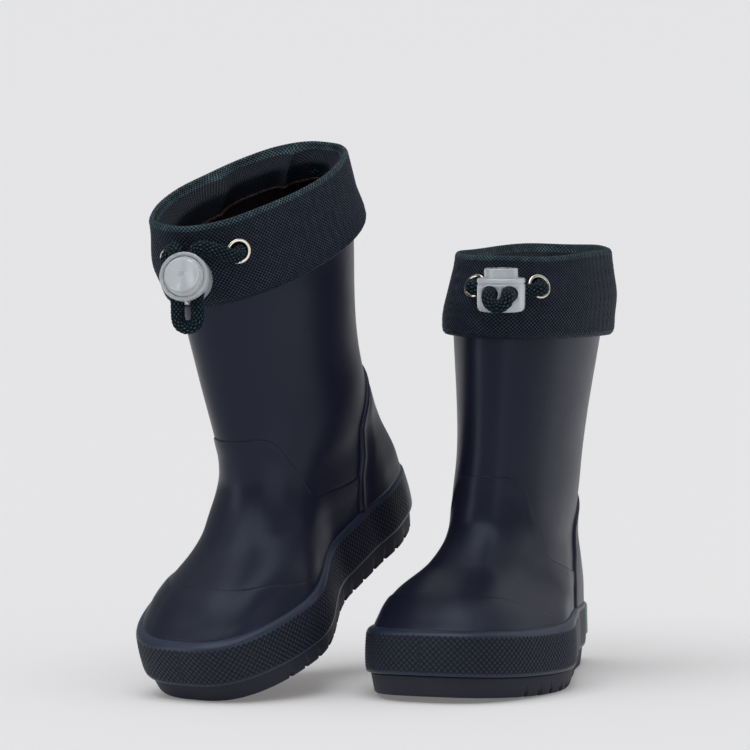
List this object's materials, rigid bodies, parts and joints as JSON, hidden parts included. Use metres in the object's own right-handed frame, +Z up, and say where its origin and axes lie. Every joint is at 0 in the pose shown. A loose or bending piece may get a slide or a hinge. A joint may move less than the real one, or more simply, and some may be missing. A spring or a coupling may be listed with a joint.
{
  "type": "deck boots",
  "caption": "Child's moulded rubber deck boots with a textured band round the foot, a woven mesh cuff, a drawcord through metal eyelets and a push-button cord lock.",
  "frame": {"origin": "middle of the pair's footprint at rest, on the floor", "axes": "+Z up, +Y towards the heel of the left boot, which stands flat; the right boot stands beside it at -X, tipped up on its toe"},
  "size_m": [0.163, 0.2218, 0.2191],
  "materials": {
    "upper_rubber": "dark navy moulded rubber with a soft satin sheen",
    "band_rubber": "dark navy rubber with a fine moulded diamond texture",
    "sole_rubber": "smooth matt dark grey-navy rubber",
    "badge_rubber": "plain pale grey-teal rubber, left blank",
    "foam": "soft foam board inside the sole",
    "lining_cloth": "dark red-brown cloth",
    "cuff_mesh": "coarse navy mesh cloth with a teal cast",
    "cord_braid": "dark teal braided cord",
    "nickel": "bright nickel plate",
    "clear_plastic": "milky translucent plastic",
    "spring_steel": "bright spring wire"
  },
  "bodies": {
    "left_boot": {"left_outsole": "sole_rubber", "left_foxing_band": "band_rubber", "left_midsole_filler": "foam", "left_insole": "lining_cloth", "left_vamp": "upper_rubber", "left_shaft": "upper_rubber", "left_heel_counter": "upper_rubber", "left_toe_cap": "upper_rubber", "left_heel_badge": "badge_rubber", "left_lining": "lining_cloth", "left_cuff": "cuff_mesh", "left_eyelet_medial": "nickel", "left_washer_medial": "nickel", "left_eyelet_lateral": "nickel", "left_washer_lateral": "nickel", "left_drawcord": "cord_braid"},
    "left_lock": {"left_lock_barrel": "clear_plastic", "left_lock_spring": "spring_steel"},
    "left_button": {"left_lock_plunger": "clear_plastic"},
    "right_boot": {"right_outsole": "sole_rubber", "right_foxing_band": "band_rubber", "right_midsole_filler": "foam", "right_insole": "lining_cloth", "right_vamp": "upper_rubber", "right_shaft": "upper_rubber", "right_heel_counter": "upper_rubber", "right_toe_cap": "upper_rubber", "right_heel_badge": "badge_rubber", "right_lining": "lining_cloth", "right_cuff": "cuff_mesh", "right_eyelet_medial": "nickel", "right_washer_medial": "nickel", "right_eyelet_lateral": "nickel", "right_washer_lateral": "nickel", "right_drawcord": "cord_braid"},
    "right_lock": {"right_lock_barrel": "clear_plastic", "right_lock_spring": "spring_steel"},
    "right_button": {"right_lock_plunger": "clear_plastic"}
  },
  "joints": [
    {"name": "right_boot_rock", "type": "hinge", "parent": "left_boot", "child": "right_boot", "pos_m": [-0.05165, -0.07778, 0], "axis": [0.9672, -0.2542, 0], "range_deg": [-22, 0]},
    {"name": "left_lock_slide", "type": "slide", "parent": "left_boot", "child": "left_lock", "axis": [0.2329, -0.9725, 0], "range_m": [0, 0.004]},
    {"name": "left_button_press", "type": "slide", "parent": "left_lock", "child": "left_button", "axis": [0, 0, -1], "range_m": [0, 0.002], "stiffness_N_per_m": 600, "springref_m": -0.003, "deforming": ["left_lock_spring"]},
    {"name": "right_lock_slide", "type": "slide", "parent": "right_boot", "child": "right_lock", "axis": [0.1174, -0.1928, -0.9742], "range_m": [0, 0.004]},
    {"name": "right_button_press", "type": "slide", "parent": "right_lock", "child": "right_button", "axis": [-0.1709, 0.9624, -0.2111], "range_m": [0, 0.002], "stiffness_N_per_m": 600, "springref_m": -0.003, "deforming": ["right_lock_spring"]}
  ]
}
